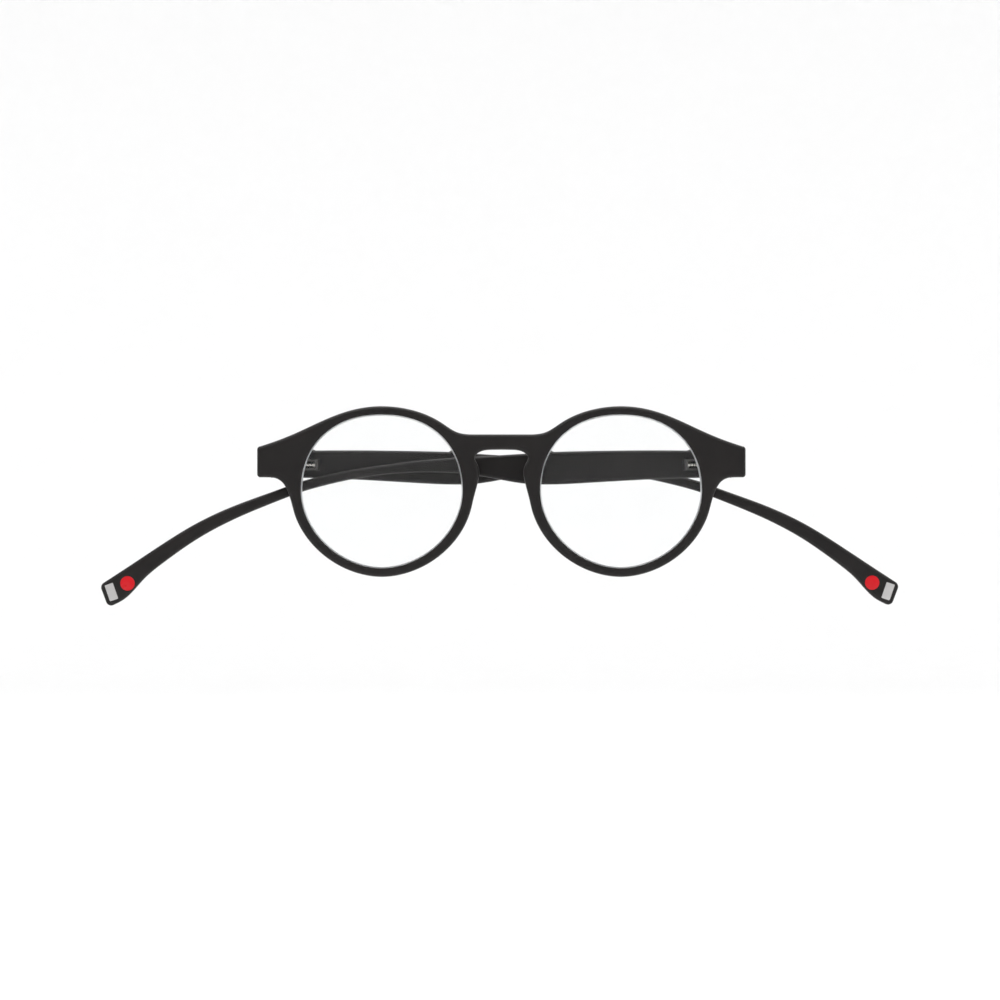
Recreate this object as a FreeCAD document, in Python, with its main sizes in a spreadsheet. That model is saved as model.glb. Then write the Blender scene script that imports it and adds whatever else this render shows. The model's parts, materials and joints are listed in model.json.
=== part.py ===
import FreeCAD, Part
import math
import os

# Folding reading glasses: round-lens front with a keyhole bridge, clear reading lenses,
# spring hinges, and long slender temples that end in magnets.
#
# Frame: millimetres, +Z up, +X to the wearer's left, +Y from the lenses towards the wearer.
# The origin is midway between the two nose pads, at the height where they rest on the nose.
# The temples are modelled folded behind the front, the left one first and the right one over it.

Vector = FreeCAD.Vector
Rotation = FreeCAD.Rotation
Placement = FreeCAD.Placement
X_AXIS = Vector(1, 0, 0)
Y_AXIS = Vector(0, 1, 0)
Z_AXIS = Vector(0, 0, 1)

# ---------------------------------------------------------------- driving dimensions

SIZES = {
    # front
    "front_half_width": 71.0,
    "front_thickness": 4.0,
    "face_curve_radius": 600.0,
    "lens_centre_across": 34.65,
    "lens_centre_height": -5.3,
    "lens_half_width": 23.6,
    "lens_half_height": 22.3,
    "rim_side": 3.0,
    "rim_below": 2.5,
    "crown_height": 19.4,
    "bridge_top": 11.2,
    "keyhole_top": 6.8,
    "end_top": 7.8,
    "end_bottom": -1.2,
    "end_seat": 5.2,
    # lenses
    "groove_depth": 0.55,
    "groove_width": 1.1,
    "lens_ridge": 0.5,
    "lens_play": 0.05,
    "lens_edge": 1.6,
    "lens_front_radius": 150.0,
    "lens_back_radius": 400.0,
    # hinges
    "hinge_across": 65.8,
    "hinge_back": 7.1,
    "hinge_height": 2.4,
    "knuckle_radius": 1.45,
    "knuckle_middle": 1.1,
    "knuckle_stack": 3.3,
    "knuckle_play": 0.05,
    "screw_diameter": 1.2,
    "screw_head_diameter": 2.2,
    "screw_head_height": 0.5,
    "pivot_play": 0.05,
    "plate_length": 6.2,
    "plate_height": 3.8,
    "plate_thickness": 0.8,
    "plate_proud": 0.1,
    "anchor_diameter": 0.9,
    "anchor_length": 1.0,
    # spring box
    "rod_offset": 1.6,
    "rod_diameter": 0.9,
    "box_start": 2.7,
    "box_end": 12.9,
    "box_inner": 0.3,
    "box_outer": 2.9,
    "box_height": 3.1,
    "box_bore": 2.0,
    "box_wall": 0.8,
    "stop_length": 0.8,
    "stop_diameter": 1.8,
    "coil_wire": 0.24,
    "coil_diameter": 1.44,
    "coil_turns": 10,
    # temples
    "left_fold": 0.0,
    "right_fold": 3.5,
    "temple_inner": 1.8,
    "temple_thickness": 3.0,
    "neck_thickness": 2.4,
    "paddle_thickness": 2.8,
    "butt_setback": 1.4,
    "butt_round": 2.2,
    "arm_end": 62.0,
    "paddle_start": 165.0,
    "neck_bow_radius": 800.0,
    # tips
    "magnet_across": 5.0,
    "magnet_along": 2.6,
    "magnet_depth": 1.4,
    "magnet_station": 178.9,
    "magnet_height": -34.5,
    "dot_diameter": 4.2,
    "dot_depth": 0.6,
    "dot_station": 174.3,
    "dot_height": -32.0,
    "tip_tilt": 19.0,
    "inlay_play": 0.03,
}

doc = FreeCAD.newDocument("folding_reading_glasses")
sheet = doc.addObject("Spreadsheet::Sheet", "sizes")
for row, (name, value) in enumerate(SIZES.items(), start=1):
    sheet.set(f"A{row}", name)
    sheet.set(f"B{row}", str(value))
    sheet.setAlias(f"B{row}", name)
doc.recompute()

sub_parts = []


def size(name):
    """The number that the sheet holds under an alias."""
    return float(sheet.get(name))


def bind(item, **expressions):
    """Bind properties of an object to formulas in the sheet's aliases."""
    for name, formula in expressions.items():
        item.setExpression(name, formula)


# ---------------------------------------------------------------- small tools


def new_body(label):
    """An empty PartDesign body."""
    body = doc.addObject("PartDesign::Body", label)
    body.Label = label
    return body


def sketch_on(body, role, name, curves, offset=Placement()):
    """A sketch of the given curves on one of the body's own origin planes."""
    sketch = body.newObject("Sketcher::SketchObject", name)
    plane = [item for item in body.Origin.OriginFeatures if item.Role == role][0]
    sketch.AttachmentSupport = (plane, [""])
    sketch.MapMode = "FlatFace"
    sketch.AttachmentOffset = offset
    for curve in curves:
        sketch.addGeometry(curve, False)
    doc.recompute()
    return sketch


def pad_midplane(body, sketch, name, length):
    """A pad of equal depth to both sides of its sketch."""
    pad = body.newObject("PartDesign::Pad", name)
    pad.Profile = sketch
    pad.Midplane = True
    pad.setExpression("Length", length)
    doc.recompute()
    return pad


def cut_midplane(body, sketch, name, length):
    """A pocket of equal depth to both sides of its sketch, which has to change the surface."""
    before = body.Shape.Area
    pocket = body.newObject("PartDesign::Pocket", name)
    pocket.Profile = sketch
    pocket.Midplane = True
    pocket.setExpression("Length", length)
    doc.recompute()
    if abs(body.Shape.Area - before) < 1e-4:
        raise ValueError(f"{name} cuts nothing")
    return pocket


def polyline(points):
    """Straight lines from point to point, closed."""
    ends = [Vector(across, up, 0) for across, up in points]
    return [Part.LineSegment(a, b) for a, b in zip(ends, ends[1:] + ends[:1])]


def rectangle(low, high):
    """Four lines round a rectangle given by two opposite corners."""
    return polyline([low, (high[0], low[1]), high, (low[0], high[1])])


def spline(points, first=None, last=None):
    """A smooth curve through the points, with given directions at its two ends if any."""
    places = [Vector(across, up, 0) for across, up in points]
    curve = Part.BSplineCurve()
    if first:
        curve.interpolate(places, InitialTangent=Vector(*first, 0), FinalTangent=Vector(*last, 0))
    else:
        curve.interpolate(places)
    return curve


def line(start, end):
    """A straight line between two points."""
    return Part.LineSegment(Vector(*start, 0), Vector(*end, 0))


def arc(start, middle, end):
    """A circular arc through three points."""
    return Part.Arc(Vector(*start, 0), Vector(*middle, 0), Vector(*end, 0))


def corner(start, crossing, end):
    """A rounded corner: an arc from start to end, tangent to the lines that meet at the crossing."""
    first, last, cross = Vector(*start, 0), Vector(*end, 0), Vector(*crossing, 0)
    middle = (first + last) / 2
    side = (first - cross).Length
    half_chord = (first - middle).Length
    reach = side * (side - half_chord) / (middle - cross).Length ** 2
    return Part.Arc(first, cross + (middle - cross) * reach, last)


def mirrored(points):
    """The same points on the other side of the centre line, in reverse order."""
    return [(-across, up) for across, up in reversed(points)]


def finish(item, label, placement):
    """Register an object as one of the sub-parts that are written out."""
    item.Label = label
    item.Placement = placement
    sub_parts.append(item)
    return item


# ---------------------------------------------------------------- front frame and lenses

PANTO_UPPER = 2.2
PANTO_LOWER = 1.9


def panto(turn, half_width, half_height):
    """A point of the lens outline, a superellipse that is squarer above than below.

    |x / half_width| ^ p + |z / half_height| ^ p = 1, with p = PANTO_UPPER above the centre
    and PANTO_LOWER below it.
    """
    power = PANTO_UPPER if math.sin(turn) > 0 else PANTO_LOWER
    across = math.copysign(abs(math.cos(turn)) ** (2 / power), math.cos(turn))
    up = math.copysign(abs(math.sin(turn)) ** (2 / power), math.sin(turn))
    return half_width * across, half_height * up


def lens_outline(grow):
    """The closed lens outline, larger by grow all round, about its own centre: two halves."""
    steps = 18
    half_width = size("lens_half_width") + grow
    half_height = size("lens_half_height") + grow
    upper = [panto(math.pi * i / steps, half_width, half_height) for i in range(steps + 1)]
    lower = [panto(-math.pi * i / steps, half_width, half_height) for i in range(steps + 1)]
    return [spline(upper, (0, 1), (0, -1)), spline(lower, (0, -1), (0, 1))]


def rim_outer(first, last, steps):
    """Points of the rim's outer edge below the lens centre, between two angles in degrees."""
    half_width = size("lens_half_width") + size("rim_side")
    half_height = size("lens_half_height") + size("rim_below")
    points = []
    for i in range(steps + 1):
        turn = math.radians(first + (last - first) * i / steps)
        across, up = panto(turn, half_width, half_height)
        points.append((size("lens_centre_across") + across, size("lens_centre_height") + up))
    return points


def front_outline():
    """The outside contour of the front: brow line, end pieces, rims, nose pads and keyhole."""
    half = size("front_half_width")
    crown = size("crown_height")
    bridge = size("bridge_top")
    top = size("end_top")
    bottom = size("end_bottom")
    keyhole = size("keyhole_top")
    centre = size("lens_centre_across")
    brow = [(9.0, bridge), (12.4, bridge + 0.5), (17.2, 14.5), (23.0, 17.4), (28.8, 18.9), (centre, crown),
            (40.6, 18.9), (49.1, 16.4), (57.8, 12.5), (64.5, 9.7), (half - 0.9, top)]
    end_side = [(half, top - 1.0), (half, bottom + 0.9)]
    end_under = [(half - 0.9, bottom), (67.4, bottom)]
    under = [(67.4, bottom), (64.2, bottom - 1.0), (62.3, bottom - 3.6)]
    rim = rim_outer(-10, -170, 20)
    lower = under + rim
    keyhole_side = [rim[-1], (7.5, -5.3), (6.8, -2.6), (6.4, 0.0), (7.0, 2.7), (7.75, 4.6), (6.1, 6.2),
                    (3.2, keyhole - 0.05)]
    rise, fall = (-0.203, 0.979), (-0.203, -0.979)
    curves = [line((-9.0, bridge), (9.0, bridge)),
              spline(brow),
              corner(brow[-1], (half, top), end_side[0]),
              line(*end_side),
              corner(end_side[1], (half, bottom), end_under[0]),
              line(*end_under),
              spline(lower, (-1, 0), rise),
              spline(keyhole_side + [(0.0, keyhole)] + mirrored(keyhole_side), rise, fall),
              spline(mirrored(lower), fall, (-1, 0)),
              spline(mirrored(brow)),
              corner(mirrored(brow)[0], (-half, top), mirrored(end_side)[1]),
              line(*mirrored(end_side)),
              corner(mirrored(end_side)[0], (-half, bottom), mirrored(end_under)[1]),
              line(*mirrored(end_under))]
    return curves


def lens_seat(side):
    """Where a lens sits: on the curved front, turned to face squarely out of it."""
    across = side * size("lens_centre_across")
    radius = size("face_curve_radius")
    back = radius - math.sqrt(radius ** 2 - across ** 2)
    turn = math.degrees(math.asin(across / radius))
    return Placement(Vector(across, back, size("lens_centre_height")), Rotation(Z_AXIS, turn))


def on_front_plane(placement):
    """The same place, given in the axes of a sketch on the XZ plane."""
    plane = Placement(Vector(0, 0, 0), Rotation(X_AXIS, 90))
    return plane.inverse() * placement * plane


def front_frame():
    """The moulded front, cut out of a curved band, with lens grooves and hinge recesses."""
    body = new_body("front_frame")
    radius = size("face_curve_radius")
    half = size("front_half_width") + 3.0
    outer = radius + size("front_thickness") / 2
    inner = radius - size("front_thickness") / 2
    rise = [radius - math.sqrt(r ** 2 - half ** 2) for r in (outer, inner)]
    band = [arc((-half, rise[0]), (0, radius - outer), (half, rise[0])),
            line((half, rise[0]), (half, rise[1])),
            arc((half, rise[1]), (0, radius - inner), (-half, rise[1])),
            line((-half, rise[1]), (-half, rise[0]))]
    pad_midplane(body, sketch_on(body, "XY_Plane", "curved_band", band), "front_blank", "2 * 40")
    frame = rectangle((-100, -60), (100, 60))
    cut_midplane(body, sketch_on(body, "XZ_Plane", "outline", frame + front_outline()), "outline_cut", "2 * 40")
    for side, word in ((1, "left"), (-1, "right")):
        pad = body.newObject("PartDesign::AdditiveEllipsoid", f"nose_pad_{word}")
        pad.Radius1 = 6.6
        pad.Radius2 = 2.2
        pad.Radius3 = 2.6
        pad.Placement = Placement(Vector(side * 9.2, 2.6, -1.2), Rotation(Y_AXIS, side * -9))
        doc.recompute()
        seat = on_front_plane(lens_seat(side))
        opening = sketch_on(body, "XZ_Plane", f"opening_{word}", lens_outline(0.0), seat)
        cut_midplane(body, opening, f"lens_opening_{word}", "40")
        groove = sketch_on(body, "XZ_Plane", f"groove_{word}", lens_outline(size("groove_depth")), seat)
        cut_midplane(body, groove, f"lens_groove_{word}", "sizes.groove_width")
        seat_box = rectangle((side * 62.0, size("end_seat")), (side * 80.0, 20.0))
        flat = sketch_on(body, "XY_Plane", f"end_flat_{word}", seat_box)
        cut_midplane(body, flat, f"end_seat_{word}", "80")
        recess_low, recess_high = plate_span(side, 0.03)
        recess = rectangle(recess_low, recess_high)
        at_seat = Placement(Vector(0, 0, -size("end_seat")), Rotation())
        bed = sketch_on(body, "XZ_Plane", f"plate_bed_{word}", recess, at_seat)
        cut_midplane(body, bed, f"plate_recess_{word}", "2 * (sizes.plate_thickness - sizes.plate_proud)")
        holes = [Part.Circle(Vector(side * x, size("hinge_height"), 0), Z_AXIS, size("anchor_diameter") / 2 + 0.01)
                 for x in anchor_places()]
        drill = sketch_on(body, "XZ_Plane", f"anchor_holes_{word}", holes, at_seat)
        cut_midplane(body, drill, f"anchor_drill_{word}",
                     "2 * (sizes.plate_thickness - sizes.plate_proud + sizes.anchor_length + 0.05)")
    return finish(body, "front_frame", Placement())


def lens(side, word):
    """A reading lens: a round meniscus blank, edged to the rim's outline with a ridge round it."""
    body = new_body(f"{word}_lens")
    blank = 27.0
    edge = size("lens_edge") / 2
    reach = size("lens_half_width")
    front_radius = size("lens_front_radius")
    back_radius = size("lens_back_radius")

    def front_face(x):
        return -edge - math.sqrt(front_radius ** 2 - x ** 2) + math.sqrt(front_radius ** 2 - reach ** 2)

    def back_face(x):
        return edge - math.sqrt(back_radius ** 2 - x ** 2) + math.sqrt(back_radius ** 2 - reach ** 2)

    profile = [line((0, back_face(0)), (0, front_face(0))),
               arc((0, front_face(0)), (blank / 2, front_face(blank / 2)), (blank, front_face(blank))),
               line((blank, front_face(blank)), (blank, back_face(blank))),
               arc((blank, back_face(blank)), (blank / 2, back_face(blank / 2)), (0, back_face(0)))]
    sketch = sketch_on(body, "XY_Plane", f"{word}_meniscus", profile)
    turned = body.newObject("PartDesign::Revolution", f"{word}_lens_blank")
    turned.Profile = sketch
    turned.ReferenceAxis = (sketch, ["V_Axis"])
    turned.Angle = 360
    doc.recompute()
    waste = [Part.Circle(Vector(0, 0, 0), Z_AXIS, 40)]
    ridge = lens_outline(size("lens_ridge") - size("lens_play"))
    cut_midplane(body, sketch_on(body, "XZ_Plane", f"{word}_edging", waste + ridge), f"{word}_edge_cut", "40")
    step_depth = 10.0
    for face in (-1, 1):
        middle = face * (0.5 * (size("groove_width") - 2 * size("lens_play")) + 0.5 * step_depth)
        at_step = Placement(Vector(0, 0, middle), Rotation())
        outline = waste + lens_outline(-size("lens_play"))
        name = f"{word}_edge_step_{'front' if face > 0 else 'back'}"
        cut_midplane(body, sketch_on(body, "XZ_Plane", f"{name}_sketch", outline, at_step), name, str(step_depth))
    return finish(body, f"{word}_lens", lens_seat(side))


# ---------------------------------------------------------------- hinges

# A hinge's own frame has its origin on the pivot, at the middle of the knuckles.  Its x runs
# along the folded temple: run is +1 for the right temple, whose hinge is at -X, and -1 for
# the left one.


def plate_span(side, grow):
    """Opposite corners of the hinge plate in the XZ plane of the front, larger by grow."""
    inner = size("hinge_across") + 1.4 - size("plate_length")
    outer = size("hinge_across") + 1.4
    half = size("plate_height") / 2
    return ((side * (inner - grow), size("hinge_height") - half - grow),
            (side * (outer + grow), size("hinge_height") + half + grow))


def anchor_places():
    """Distance of the plate's two anchor pins from the centre plane."""
    return size("hinge_across") - 3.6, size("hinge_across") + 0.4


def pivot_frame(run, fold):
    """The placement of a hinge's own frame, turned back by the fold angle in degrees."""
    base = Vector(-run * size("hinge_across"), size("hinge_back"), size("hinge_height"))
    return Placement(base, Rotation(Z_AXIS, run * fold))


def fused(name, *items):
    """One solid from several, as a chain of fusions."""
    joined = items[0]
    for count, item in enumerate(items[1:], start=1):
        step = doc.addObject("Part::Fuse", f"{name}_fuse_{count}")
        step.Base = joined
        step.Tool = item
        joined = step
    doc.recompute()
    return joined


def cut(name, base, *tools):
    """The base with each tool taken away in turn."""
    left = base
    for count, tool in enumerate(tools, start=1):
        step = doc.addObject("Part::Cut", f"{name}_cut_{count}")
        step.Base = left
        step.Tool = tool
        left = step
    doc.recompute()
    if left.Shape.Volume > base.Shape.Volume - 1e-6:
        raise ValueError(f"{name}: nothing was cut")
    return left


def box(name, low, high):
    """A box between two opposite corners."""
    item = doc.addObject("Part::Box", name)
    item.Length = abs(high[0] - low[0])
    item.Width = abs(high[1] - low[1])
    item.Height = abs(high[2] - low[2])
    item.Placement = Placement(Vector(*[min(a, b) for a, b in zip(low, high)]), Rotation())
    return item


def cylinder(name, radius, height, base, direction=Z_AXIS):
    """A cylinder from its base point along a direction; radius and height are sheet formulas."""
    item = doc.addObject("Part::Cylinder", name)
    bind(item, Radius=radius, Height=height)
    item.Placement = Placement(Vector(*base), Rotation(Z_AXIS, direction))
    return item


def hinge_plate(run, word):
    """The front half of a hinge: a plate with two anchor pins and the outer two knuckles."""
    name = f"{word}_hinge_plate"
    seat = size("end_seat") - size("hinge_back")
    proud = seat + size("plate_proud")
    sunk = proud - size("plate_thickness")
    half_stack = size("knuckle_stack") / 2
    gap = size("knuckle_middle") / 2 + size("knuckle_play")
    inner = run * (size("plate_length") - 1.4)
    plate = box(f"{name}_leaf", (inner, sunk, -size("plate_height") / 2),
                (-run * 1.4, proud, size("plate_height") / 2))
    solids = [plate]
    for level, low in (("upper", gap), ("lower", -half_stack)):
        height = half_stack - gap
        knuckle = cylinder(f"{name}_{level}_knuckle", "sizes.knuckle_radius", str(height), (0, 0, low))
        web = box(f"{name}_{level}_web", (-1.2, proud - 0.2, low), (1.2, 0, low + height))
        solids += [knuckle, web]
    for count, place in enumerate(anchor_places(), start=1):
        x = run * (size("hinge_across") - place)
        pin = cylinder(f"{name}_anchor_{count}", "sizes.anchor_diameter / 2", "sizes.anchor_length + 0.2",
                       (x, sunk + 0.2, 0), Vector(0, -1, 0))
        solids.append(pin)
    bore = cylinder(f"{name}_bore", "sizes.screw_diameter / 2 + 0.02", "10", (0, 0, -5))
    return finish(cut(name, fused(name, *solids), bore), name, pivot_frame(run, 0))


def hinge_screw(run, word):
    """The pivot: a slotted screw with a domed head, turned from one profile."""
    name = f"{word}_hinge_screw"
    body = new_body(name)
    shank = size("screw_diameter") / 2
    head = size("screw_head_diameter") / 2
    top = size("knuckle_stack") / 2
    rise = size("screw_head_height")
    tail = -top - 0.15
    profile = [line((0, tail), (shank - 0.15, tail)),
               line((shank - 0.15, tail), (shank, tail + 0.15)),
               line((shank, tail + 0.15), (shank, top)),
               line((shank, top), (head, top)),
               line((head, top), (head, top + 0.2)),
               arc((head, top + 0.2), (0.7 * head, top + 0.82 * rise), (0, top + rise)),
               line((0, top + rise), (0, tail))]
    sketch = sketch_on(body, "XZ_Plane", f"{name}_profile", profile)
    turned = body.newObject("PartDesign::Revolution", f"{name}_turned")
    turned.Profile = sketch
    turned.ReferenceAxis = (sketch, ["V_Axis"])
    turned.Angle = 360
    doc.recompute()
    slot = rectangle((-3, top + rise - 0.22), (3, top + rise + 1.0))
    slot_sketch = sketch_on(body, "XZ_Plane", f"{name}_slot_sketch", slot)
    cut_midplane(body, slot_sketch, f"{name}_slot", "0.35")
    return finish(body, name, pivot_frame(run, 0))


def rod_axis(run):
    """Direction of the spring rod, along the temple."""
    return Vector(run, 0, 0)


def hinge_slider(run, word, fold):
    """The middle knuckle with the block and rod that slide in the spring box."""
    name = f"{word}_hinge_slider"
    half = size("knuckle_middle") / 2
    offset = size("rod_offset")
    knuckle = cylinder(f"{name}_knuckle", "sizes.knuckle_radius", "sizes.knuckle_middle", (0, 0, -half))
    block = box(f"{name}_block", (run * 0.3, offset - 0.85, -half), (run * (size("box_start") - 0.1), offset + 0.75, half))
    rod = cylinder(f"{name}_rod", "sizes.rod_diameter / 2",
                   "sizes.box_end - sizes.box_wall - 0.1 - (sizes.box_start - 0.3)",
                   (run * (size("box_start") - 0.3), offset, 0), rod_axis(run))
    bore = cylinder(f"{name}_bore", "sizes.screw_diameter / 2 + sizes.pivot_play", "4", (0, 0, -2))
    return finish(cut(name, fused(name, knuckle, block, rod), bore), name, pivot_frame(run, fold))


def slider_stop(run, word, fold):
    """The collar on the end of the rod that holds the spring."""
    name = f"{word}_slider_stop"
    start = size("box_end") - size("box_wall") - 0.1 - size("stop_length")
    base = (run * start, size("rod_offset"), 0)
    collar = cylinder(f"{name}_collar", "sizes.stop_diameter / 2", "sizes.stop_length", base, rod_axis(run))
    bore = cylinder(f"{name}_bore", "sizes.rod_diameter / 2 + 0.01", "sizes.stop_length + 0.4",
                    (run * (start - 0.2), size("rod_offset"), 0), rod_axis(run))
    return finish(cut(name, collar, bore), name, pivot_frame(run, fold))


def hinge_spring(run, word, fold):
    """The coil spring on the rod, a round wire swept along a helix."""
    name = f"{word}_hinge_spring"
    wire = size("coil_wire")
    start = size("box_start") + size("box_wall") + wire / 2 + 0.05
    end = size("box_end") - size("box_wall") - 0.1 - size("stop_length") - wire / 2 - 0.05
    turns = size("coil_turns")
    helix = Part.makeHelix((end - start) / turns, end - start, size("coil_diameter") / 2)
    section = Part.Wire([Part.makeCircle(wire / 2, Vector(size("coil_diameter") / 2, 0, 0), Y_AXIS)])
    coil = Part.Wire(helix.Edges).makePipeShell([section], True, True)
    coil.Placement = Placement(Vector(run * start, size("rod_offset"), 0), Rotation(Z_AXIS, rod_axis(run)))
    spring = doc.addObject("Part::Feature", name)
    spring.Shape = Part.Compound([coil]).Solids[0]
    return finish(spring, name, pivot_frame(run, fold).multiply(spring.Placement))


def spring_housing(run, word, fold):
    """The metal box in the temple that the rod slides in, with a window over the coil."""
    name = f"{word}_spring_housing"
    body = new_body(name)
    start, end = size("box_start"), size("box_end")
    inner, outer = size("box_inner"), size("box_outer")
    half = size("box_height") / 2
    round_end = 1.0
    plan = [line((run * start, inner), (run * start, outer)),
            line((run * start, outer), (run * end, outer)),
            line((run * end, outer), (run * end, inner + round_end)),
            corner((run * end, inner + round_end), (run * end, inner), (run * (end - round_end), inner)),
            line((run * (end - round_end), inner), (run * start, inner))]
    pad_midplane(body, sketch_on(body, "XY_Plane", f"{name}_plan", plan), f"{name}_block", "sizes.box_height")
    offset = size("rod_offset")
    window = rectangle((run * (start + 2.3), -1.1), (run * (end - 1.4), 1.1))
    at_face = Placement(Vector(0, 0, -inner), Rotation())
    window_sketch = sketch_on(body, "XZ_Plane", f"{name}_window_sketch", window, at_face)
    cut_midplane(body, window_sketch, f"{name}_window", "2 * 0.9")
    across = Placement(Vector(0, 0, 0), Rotation())
    for step, radius, length, middle in (
            ("bore", size("box_bore") / 2, end - start - 2 * size("box_wall"), (start + end) / 2),
            ("mouth", size("rod_diameter") / 2 + size("pivot_play"), 2 * size("box_wall"), start)):
        across.Base = Vector(0, 0, run * middle)
        circle = [Part.Circle(Vector(offset, 0, 0), Z_AXIS, radius)]
        bore = sketch_on(body, "YZ_Plane", f"{name}_{step}_sketch", circle, across)
        cut_midplane(body, bore, f"{name}_{step}", str(length + (0.1 if step == "mouth" else 0.0)))
    return finish(body, name, pivot_frame(run, fold))


# ---------------------------------------------------------------- temples

# A temple's own frame is its hinge's frame with z counted from the origin of the glasses.
# Its side view is given as (distance along the temple, height) points.

UPPER_EDGE = [(-1.4, 6.4), (20, 6.6), (40, 6.4), (54, 6.0), (66, 5.3), (79, 4.5), (90, 3.6), (98, 2.6),
              (107, 1.3), (117, -0.6), (124, -2.4), (132, -5.2), (141.6, -8.7), (154, -14.3),
              (166, -21.7), (174, -27.05), (181.2, -31.8)]
LOWER_EDGE = [(-1.4, -1.3), (10, -1.4), (24, -1.9), (40, -2.8), (52, -3.3), (60, -2.9), (68, -1.5),
              (77, -0.2), (88, 0.3), (98, -0.2), (106, -1.2), (115.7, -3.2), (124, -5.5), (132, -8.5),
              (141.6, -12.5), (154, -19.0), (164.4, -26.3), (169.6, -30.7), (172.8, -34.3),
              (175.6, -36.8), (178.4, -38.3)]
TIP_CROSSINGS = [(182.29, -32.52), (179.90, -39.02)]
TIP_FRONT = [(181.84, -33.74), (180.48, -37.45)]


def temple_frame(run, fold):
    """Placement of a temple's own frame."""
    base = Vector(-run * size("hinge_across"), size("hinge_back"), 0)
    return Placement(base, Rotation(Z_AXIS, run * fold))


def inner_face(station):
    """How far outward of the pivot the temple's inner face lies: straight, then bowed inward."""
    past = max(0.0, station - size("arm_end"))
    return size("temple_inner") - past ** 2 / (2 * size("neck_bow_radius"))


def thickness(station):
    """Temple thickness: tapers along the arm, even in the neck, fuller in the paddle."""
    neck = size("neck_thickness")
    if station < size("arm_end"):
        return size("temple_thickness") + (neck - size("temple_thickness")) * station / size("arm_end")
    swell = max(0.0, min(1.0, (station - 150) / 20))
    return neck + (size("paddle_thickness") - neck) * swell ** 2 * (3 - 2 * swell)


def temple_blank():
    """The whole right temple in one piece: its side view, cut to its bowed plan view."""
    body = new_body("temple_blank")
    upper, lower = UPPER_EDGE, LOWER_EDGE
    side_view = [spline(upper), corner(upper[-1], TIP_CROSSINGS[0], TIP_FRONT[0]), line(*TIP_FRONT),
                 corner(TIP_FRONT[1], TIP_CROSSINGS[1], lower[-1]), spline(lower), line(lower[0], upper[0])]
    pad_midplane(body, sketch_on(body, "XZ_Plane", "temple_side_view", side_view), "temple_slab", "2 * 30")
    butt = -size("butt_setback")
    rounding = size("butt_round")
    outer_start = inner_face(0) + size("temple_thickness")
    stations = [62, 78, 94, 110, 126, 142, 150, 158, 166, 176, 186]
    inner = [(station, inner_face(station)) for station in stations]
    outer = [(butt + rounding, outer_start)]
    outer += [(station, inner_face(station) + thickness(station)) for station in [20, 40] + stations]
    waste = rectangle((-400, -60), (400, 60))
    plan_view = [line((butt, inner[0][1]), inner[0]),
                 spline(inner),
                 line(inner[-1], outer[-1]),
                 spline(outer),
                 corner(outer[0], (butt, outer_start), (butt, outer_start - rounding)),
                 line((butt, outer_start - rounding), (butt, inner[0][1]))]
    cut_midplane(body, sketch_on(body, "XY_Plane", "temple_plan_view", waste + plan_view),
                 "temple_plan_cut", "2 * 60")
    return body


def stretch(name, blank, first, last):
    """The stretch of a temple between two stations."""
    piece = doc.addObject("Part::Common", f"{name}_stretch")
    piece.Base = blank
    piece.Tool = box(f"{name}_window", (first, -60, -60), (last, 60, 60))
    doc.recompute()
    return piece


def tip_place(station, height):
    """A place on a paddle's inner face, with y outward through it and x along the paddle."""
    slope = math.degrees(math.atan(-(station - size("arm_end")) / size("neck_bow_radius")))
    return Placement(Vector(station, inner_face(station), height),
                     Rotation(Z_AXIS, slope) * Rotation(Y_AXIS, size("tip_tilt")))


def magnet_solid(name, play, proud):
    """The magnet, or with some play the tool for its pocket, which stands proud of the face."""
    item = doc.addObject("Part::Box", name)
    bind(item, Length=f"sizes.magnet_along + 2 * {play}", Width=f"sizes.magnet_depth + {proud}",
         Height=f"sizes.magnet_across + 2 * {play}")
    corner_at = Vector(-size("magnet_along") / 2 - play, -proud, -size("magnet_across") / 2 - play)
    item.Placement = tip_place(size("magnet_station"), size("magnet_height")) * Placement(corner_at, Rotation())
    return item


def dot_solid(name, play, proud):
    """The round inlay, or with some play the tool for its pocket, which stands proud of the face."""
    item = doc.addObject("Part::Cylinder", name)
    bind(item, Radius=f"sizes.dot_diameter / 2 + {play}", Height=f"sizes.dot_depth + {proud}")
    upright = Placement(Vector(0, -proud, 0), Rotation(Z_AXIS, Y_AXIS))
    item.Placement = tip_place(size("dot_station"), size("dot_height")) * upright
    return item


def temple_solids():
    """The pieces of a right temple in its own frame: stiff arm, slender neck, paddle and inlays."""
    blank = temple_blank()
    arm_end, paddle_start, play = size("arm_end"), size("paddle_start"), size("inlay_play")
    half = size("box_height") / 2 + 0.05
    height = size("hinge_height")
    bed = box("box_bed", (-5, -5, height - half), (size("box_end") + 0.05, size("box_outer") + 0.05, height + half))
    arm = stretch("arm", blank, -5, arm_end)
    paddle = stretch("paddle", blank, paddle_start, 200)
    magnet_pocket = magnet_solid("magnet_pocket", play, 0.5)
    dot_pocket = dot_solid("dot_pocket", play, 0.5)
    return {"temple_arm": cut("arm", arm, bed),
            "temple_neck": stretch("neck", blank, arm_end, paddle_start),
            "temple_paddle": cut("paddle", paddle, magnet_pocket, dot_pocket),
            "tip_magnet": magnet_solid("magnet_blank", 0, 0),
            "dot_inlay": dot_solid("dot_blank", 0, 0)}


def temple(solids, side, word, fold):
    """One temple: the solids, mirrored for the left side, in place at their fold angle."""
    for name, solid in solids.items():
        label = f"{word}_{name}"
        item = doc.addObject("Part::Feature", label)
        item.Shape = solid.Shape.mirror(Vector(0, 0, 0), X_AXIS) if side > 0 else solid.Shape.copy()
        finish(item, label, temple_frame(-side, fold) * item.Placement)


# ---------------------------------------------------------------- the assembly

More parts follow.
